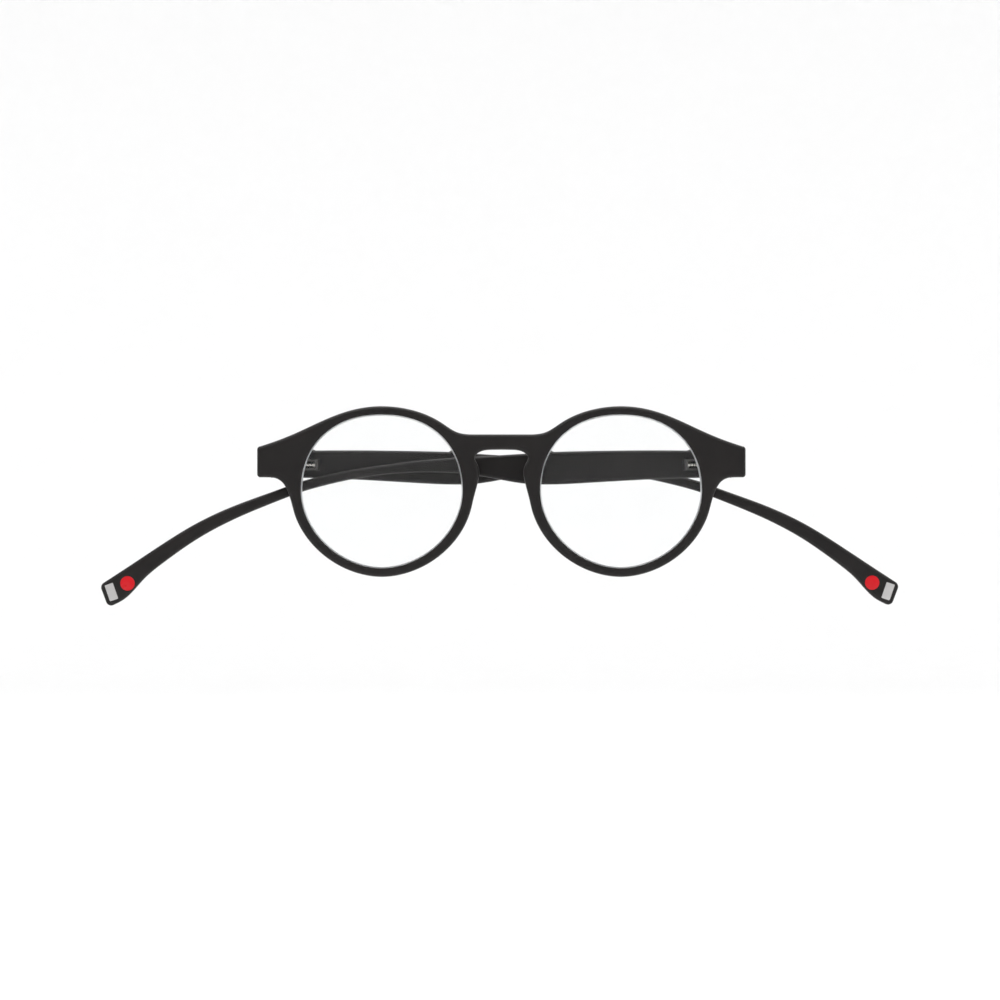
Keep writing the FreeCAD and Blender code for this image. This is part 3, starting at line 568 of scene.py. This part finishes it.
# %% The shape of a magnet
MAGNET_PLACE, MAGNET_HALF, MAGNET_MIDDLE = (178.9, -34.5), (1.3, 0.73, 2.5), 0.66
SIDE_POWER, CORNER_POWER = 0.16, 0.12
around = np.linspace(0, 2 * math.pi, 97)[:-1]
pole_to_pole = np.linspace(-math.pi / 2, math.pi / 2, 33)[:, None]
girth = power_of(np.cos(pole_to_pole), SIDE_POWER)
block = np.stack([MAGNET_HALF[0] * girth * power_of(np.cos(around), CORNER_POWER),
                  MAGNET_HALF[1] * power_of(np.sin(pole_to_pole), SIDE_POWER) + 0 * around,
                  MAGNET_HALF[2] * girth * power_of(np.sin(around), CORNER_POWER)], axis=-1).reshape(-1, 3)
block_faces = sheet_faces(len(pole_to_pole), len(around), wrap=True)
print("left magnet's place:", on_paddle("left", MAGNET_PLACE, 0.0, 0.0, 0.0).round(2))

# %% The shape of an inlay
INLAY_PLACE = (174.3, -32.0)
inlay_radii = np.array([0, 0.4, 0.8, 1.2, 1.55, 1.8, 1.95, 2.04, 2.09, 2.1, 2.1, 0])[:, None]
inlay_depths = np.array([-0.24, -0.235, -0.22, -0.19, -0.15, -0.105, -0.065, -0.03, 0.0, 0.03, 0.6, 0.6])
turned_along = (inlay_radii * np.cos(around)).ravel()
turned_up = (inlay_radii * np.sin(around)).ravel()
turned_out = (inlay_depths[:, None] + 0 * around).ravel()
inlay_faces = sheet_faces(len(inlay_radii), len(around), wrap=True)
print("left inlay's place:", on_paddle("left", INLAY_PLACE, 0.0, 0.0, 0.0).round(2))

# %% A magnet and an inlay in each paddle
for word in ("left", "right"):
    magnet = piece_from(f"{word}_magnet",
                        on_paddle(word, MAGNET_PLACE, block[:, 0], MAGNET_MIDDLE + block[:, 1], block[:, 2]),
                        block_faces, sharp=60)
    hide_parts(f"{word}_tip_magnet")
    inlay = piece_from(f"{word}_inlay", on_paddle(word, INLAY_PLACE, turned_along, turned_out, turned_up),
                       inlay_faces)
    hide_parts(f"{word}_dot_inlay")
    for item in (magnet, inlay):
        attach(item, f"{word}_tip")

# %% [markdown]
# ## Springs
#
# Inside each metal box a coil spring lets the temple open a little past square. The coil is a
# small circle carried along a helix, closed at both ends. It is held between the box and the stop
# on the sliding rod.

# %% Two coil springs
COIL_START, COIL_END, COIL_RADIUS, WIRE_RADIUS, COIL_TURNS = 3.67, 11.03, 0.72, 0.12, 10
ROD_OUT, STOP_STATION, WALL_STATION = 1.6, 11.2, 3.5
wind = np.linspace(0, 1, 321)[:, None]
wind = np.vstack([wind[:1], wind, wind[-1:]])
spin = 2 * math.pi * COIL_TURNS * wind
wire_share = np.ones_like(wind)
wire_share[[0, -1]] = 0
wire = np.linspace(0, 2 * math.pi, 13)[:-1]
from_axis = COIL_RADIUS + WIRE_RADIUS * wire_share * np.cos(wire)
coil_along = COIL_START + (COIL_END - COIL_START) * wind + WIRE_RADIUS * wire_share * np.sin(wire)
coil_out = ROD_OUT + from_axis * np.cos(spin)
coil_up = HINGE_HEIGHT + from_axis * np.sin(spin)
coil_faces = sheet_faces(len(wind), len(wire), wrap=True)
for word in ("left", "right"):
    coil = piece_from(f"{word}_coil_spring",
                      placed(word, coil_along.ravel(), coil_out.ravel(), coil_up.ravel()), coil_faces)
    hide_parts(f"{word}_hinge_spring")
    at_stop = tuple(placed(word, STOP_STATION, ROD_OUT, HINGE_HEIGHT) * MM)
    at_wall = tuple(placed(word, WALL_STATION, ROD_OUT, HINGE_HEIGHT) * MM)
    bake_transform(coil)

# %% [markdown]
# ## Hinge metal
#
# The plates, sliders, stops, boxes and screws already have their right shape. Stamped and turned
# metal never has knife edges, though, so each is copied, its loose triangles are joined, and a
# fine bevel breaks the edges.

# %% A copy of a piece with broken edges
FLAT_ANGLE, BEVEL_ANGLE, SHARP_ANGLE = math.radians(0.5), math.radians(40), math.radians(30)


def with_broken_edges(node, width):
    """A copy of a CAD node with joined points and a bevel on every edge sharper than 40 degrees."""
    source = frame["nodes"][node]
    mesh = source.data.copy()
    work = bmesh.new()
    work.from_mesh(mesh)
    bmesh.ops.remove_doubles(work, verts=work.verts, dist=1e-7)
    bmesh.ops.dissolve_limit(work, angle_limit=FLAT_ANGLE, verts=work.verts, edges=work.edges)
    work.to_mesh(mesh)
    work.free()
    mesh.materials.clear()
    made = bpy.data.objects.new(f"{node}_metal", mesh)
    bpy.context.scene.collection.objects.link(made)
    bevel = made.modifiers.new("broken_edges", "BEVEL")
    bevel.width = width * MM
    bevel.segments = 2
    bevel.limit_method = "ANGLE"
    bevel.angle_limit = BEVEL_ANGLE
    bevel.harden_normals = False
    mesh.polygons.foreach_set("use_smooth", np.ones(len(mesh.polygons), bool))
    mesh.set_sharp_from_angle(angle=SHARP_ANGLE)
    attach(made, source["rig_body"])
    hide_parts(node)
    print(f"{made.name}: {len(mesh.polygons)} faces before the bevel")


# %% Broken edges on the metal pieces
EDGE_WIDTHS = (("hinge_plate", 0.07, "hinge_metal"), ("hinge_slider", 0.06, "hinge_metal"),
               ("slider_stop", 0.04, "hinge_metal"), ("spring_housing", 0.09, "housing_dark"),
               ("hinge_screw", 0.04, "screw_steel"))
for word in ("left", "right"):
    for part, width, slot in EDGE_WIDTHS:
        with_broken_edges(f"{word}_{part}", width)

# %% [markdown]
# ## Finishes
#
# Every finish is worked out from a point's place on the piece, with no pictures. A noise at the
# size of the real grain moves the normal a little, a broader one varies the gloss, as handling
# does, and a third varies the colour by a few hundredths.

# %% A helper for finishes
TONE_SCALE, GLOSS_SCALE = 90, 320
NOISE_LOW, NOISE_HIGH = 0.3, 0.7


def finish_of(name, base, rough, grain, grain_depth, metal=0.0, tone=0.15, gloss=0.2,
              stretch=(1, 1, 1), **shader):
    """A Principled material: colour and roughness follow broad noise, and fine noise makes the bump.
    base colour * (1 -/+ tone), roughness * (1 -/+ gloss), grain per metre, bump depth in metres."""
    material = bpy.data.materials.new(name)
    material.use_nodes = True
    nodes, links = material.node_tree.nodes, material.node_tree.links
    surface = nodes["Principled BSDF"]
    surface.inputs["Metallic"].default_value = metal
    for socket, value in shader.items():
        surface.inputs[socket.replace("_", " ")].default_value = value
    place = nodes.new("ShaderNodeTexCoord")
    fit = nodes.new("ShaderNodeMapping")
    fit.inputs["Scale"].default_value = stretch
    links.new(place.outputs["Object"], fit.inputs["Vector"])

    def noise(scale, detail):
        """Soft noise on the piece's own coordinates, with so many waves to the metre."""
        made = nodes.new("ShaderNodeTexNoise")
        made.inputs["Scale"].default_value = scale
        made.inputs["Detail"].default_value = detail
        links.new(fit.outputs["Vector"], made.inputs["Vector"])
        return made.outputs["Fac"]

    tint = nodes.new("ShaderNodeValToRGB")
    darker, lighter = tint.color_ramp.elements
    darker.position, lighter.position = NOISE_LOW, NOISE_HIGH
    darker.color = [c * (1 - tone) for c in base] + [1]
    lighter.color = [min(1, c * (1 + tone)) for c in base] + [1]
    links.new(noise(TONE_SCALE, 4), tint.inputs["Fac"])
    links.new(tint.outputs["Color"], surface.inputs["Base Color"])
    polish = nodes.new("ShaderNodeMapRange")
    polish.inputs["From Min"].default_value = NOISE_LOW
    polish.inputs["From Max"].default_value = NOISE_HIGH
    polish.inputs["To Min"].default_value = rough * (1 - gloss)
    polish.inputs["To Max"].default_value = rough * (1 + gloss)
    links.new(noise(GLOSS_SCALE, 6), polish.inputs["Value"])
    links.new(polish.outputs["Result"], surface.inputs["Roughness"])
    bump = nodes.new("ShaderNodeBump")
    bump.inputs["Strength"].default_value = 0.6
    bump.inputs["Distance"].default_value = grain_depth
    links.new(noise(grain, 3), bump.inputs["Height"])
    links.new(bump.outputs["Normal"], surface.inputs["Normal"])
    return material


# %% The moulding's finish, and the metals
soft_black = finish_of("soft_touch_black", (0.0072, 0.0060, 0.0058), 0.42, 6500, 0.000010, tone=0.20,
                       gloss=0.14, Specular_IOR_Level=0.17, Sheen_Weight=0.08, Sheen_Roughness=0.3)
nickel = finish_of("satin_nickel", (0.62, 0.59, 0.55), 0.30, 2600, 0.000006, metal=1.0, tone=0.06,
                   gloss=0.25, stretch=(1, 1, 6))
bright_steel = finish_of("bright_screw_steel", (0.72, 0.71, 0.70), 0.18, 3000, 0.000003, metal=1.0,
                         tone=0.04, gloss=0.35)
wire_steel = finish_of("drawn_spring_wire", (0.60, 0.59, 0.58), 0.26, 4200, 0.000004, metal=1.0,
                       tone=0.08, gloss=0.3, stretch=(0.3, 1, 1))
blackened = finish_of("blackened_steel", (0.075, 0.072, 0.070), 0.36, 2600, 0.000006, metal=1.0,
                      tone=0.12, gloss=0.25, stretch=(1, 1, 6))
magnet_grey = finish_of("nickel_plated_magnet", (0.36, 0.352, 0.350), 0.38, 5200, 0.000005, metal=0.25,
                        tone=0.07, gloss=0.2, Specular_IOR_Level=0.6)
print("metals:", nickel.name, bright_steel.name, wire_steel.name, blackened.name, magnet_grey.name)

# %% [markdown]
# Clear plastic with its own index, about 1.5, mirrors a pale room so strongly that the temples
# behind it look washed out. The lens gets a lower index here, 1.2. That is no real plastic's: it
# reflects less, as a lens with an anti-reflective coat would.

# %% The finishes of the inlays and lenses
red = finish_of("red_inlay_enamel", (0.43, 0.0034, 0.0080), 0.34, 900, 0.000003, tone=0.05, gloss=0.2,
                Specular_IOR_Level=0.15, Coat_Weight=0.12, Coat_Roughness=0.1)
clear = finish_of("clear_lens", (0.985, 0.992, 0.992), 0.012, 40, 0.0000001, tone=0.005, gloss=0.6,
                  Transmission_Weight=1.0, IOR=1.2)
ground = finish_of("ground_lens_edge", (0.80, 0.81, 0.82), 0.55, 3000, 0.000008, tone=0.06, gloss=0.2,
                   Transmission_Weight=0.35, IOR=1.2)
print("lens index:", clear.node_tree.nodes["Principled BSDF"].inputs["IOR"].default_value)

# %% A finish on every piece
finishes = {"front_moulding": soft_black}
for word in ("left", "right"):
    finishes.update({f"{word}_temple": soft_black, f"{word}_clear_lens": clear, f"{word}_magnet": magnet_grey,
                     f"{word}_inlay": red, f"{word}_coil_spring": wire_steel,
                     f"{word}_hinge_screw_metal": bright_steel, f"{word}_spring_housing_metal": blackened})
    for part in ("hinge_plate", "hinge_slider", "slider_stop"):
        finishes[f"{word}_{part}_metal"] = nickel
for name, material in finishes.items():
    mesh = bpy.data.objects[name].data
    mesh.materials.clear()
    mesh.materials.append(material)
for name, mask in ground_faces.items():
    mesh = bpy.data.objects[name].data
    mesh.materials.append(ground)
    mesh.polygons.foreach_set("material_index", mask.astype(np.int32))
print("finishes on", len(finishes), "pieces")

# %% The same finishes on the mechanical model
node_finishes = {"frame_black": soft_black, "temple_black": soft_black, "lens_clear": clear,
                 "hinge_metal": nickel, "housing_dark": blackened, "screw_steel": bright_steel,
                 "spring_steel": wire_steel, "magnet_metal": magnet_grey, "dot_red": red}
for entry in frame["record"]["subparts"]:
    mesh = frame["nodes"][entry["node"]].data
    mesh.materials.clear()
    mesh.materials.append(node_finishes[entry["material_slot"]])
print("finishes on", len(frame["nodes"]), "nodes")

# %% [markdown]
# ## Studio
#
# The glasses hang in a plain pale bowl, a turned sheet whose floor rises into a wall with no
# corner, so that every view has the same even background. Large soft lights overhead give the
# black its long soft highlights.

# %% The bowl, in metres
BOWL_FLOOR, FLOOR_RADIUS, CURVE_RADIUS, WALL_HEIGHT = -0.17, 2.4, 0.9, 3.6
curve = np.linspace(0, math.pi / 2, 24)
bowl_radii = np.concatenate([[0, 0.6, 1.2, 1.6, FLOOR_RADIUS], FLOOR_RADIUS + CURVE_RADIUS * np.sin(curve),
                             [FLOOR_RADIUS + CURVE_RADIUS]])[:, None]
bowl_heights = np.concatenate([np.zeros(5), CURVE_RADIUS - CURVE_RADIUS * np.cos(curve),
                               [WALL_HEIGHT]])[:, None] + BOWL_FLOOR
bowl_turns = np.linspace(0, 2 * math.pi, 129)[:-1]
bowl_points = np.stack([bowl_radii * np.cos(bowl_turns), bowl_radii * np.sin(bowl_turns),
                        bowl_heights + 0 * bowl_turns], axis=-1).reshape(-1, 3)
bowl_faces = sheet_faces(len(bowl_radii), len(bowl_turns), wrap=True)
bowl_mesh = bpy.data.meshes.new("studio_floor")
bowl_mesh.from_pydata(bowl_points.tolist(), [], bowl_faces.tolist())
bowl_mesh.polygons.foreach_set("use_smooth", np.ones(len(bowl_mesh.polygons), bool))
bowl = bpy.data.objects.new("studio_floor", bowl_mesh)
bpy.context.scene.collection.objects.link(bowl)
bowl_mesh.materials.append(finish_of("pale_studio_paper", (0.86, 0.86, 0.86), 0.85, 60, 0.0001, tone=0.004,
                                     gloss=0.05, Specular_IOR_Level=0.1))
print("bowl:", len(bowl_mesh.vertices), "points")

# %% Three soft lights
GLASSES = Vector((0, 0, 0))


def soft_light(name, place, width, depth, watts):
    """A rectangular area light at a place in metres, facing the glasses."""
    data = bpy.data.lights.new(name, "AREA")
    data.shape, data.size, data.size_y, data.energy = "RECTANGLE", width, depth, watts
    light = bpy.data.objects.new(name, data)
    light.location = place
    light.rotation_euler = (GLASSES - Vector(place)).to_track_quat("-Z", "Y").to_euler()
    bpy.context.scene.collection.objects.link(light)
    print(f"{name}: {watts} W")


soft_light("overhead", (0, 0.1, 1.5), 1.8, 1.2, 26)
soft_light("upper_left", (-1.4, -0.9, 1.2), 1.0, 0.8, 9)
soft_light("upper_right", (1.4, -0.9, 1.2), 1.0, 0.8, 9)

# %% Sky and camera
sky = bpy.data.worlds.new("pale_room")
sky.use_nodes = True
sky.node_tree.nodes["Background"].inputs["Color"].default_value = (1, 1, 1, 1)
sky.node_tree.nodes["Background"].inputs["Strength"].default_value = 1.2
bpy.context.scene.world = sky
bpy.context.scene.view_settings.view_transform = "Standard"
camera_data = bpy.data.cameras.new("camera")
camera_data.lens, camera_data.sensor_width = 150, 36
camera = bpy.data.objects.new("camera", camera_data)
camera.location = (-0.0004, -1.208, -0.0078)
camera.rotation_euler = (math.pi / 2, 0, 0)
bpy.context.scene.collection.objects.link(camera)
bpy.context.scene.camera = camera
print("camera at", tuple(camera.location))

# %% Update the scene
bpy.context.view_layer.update()
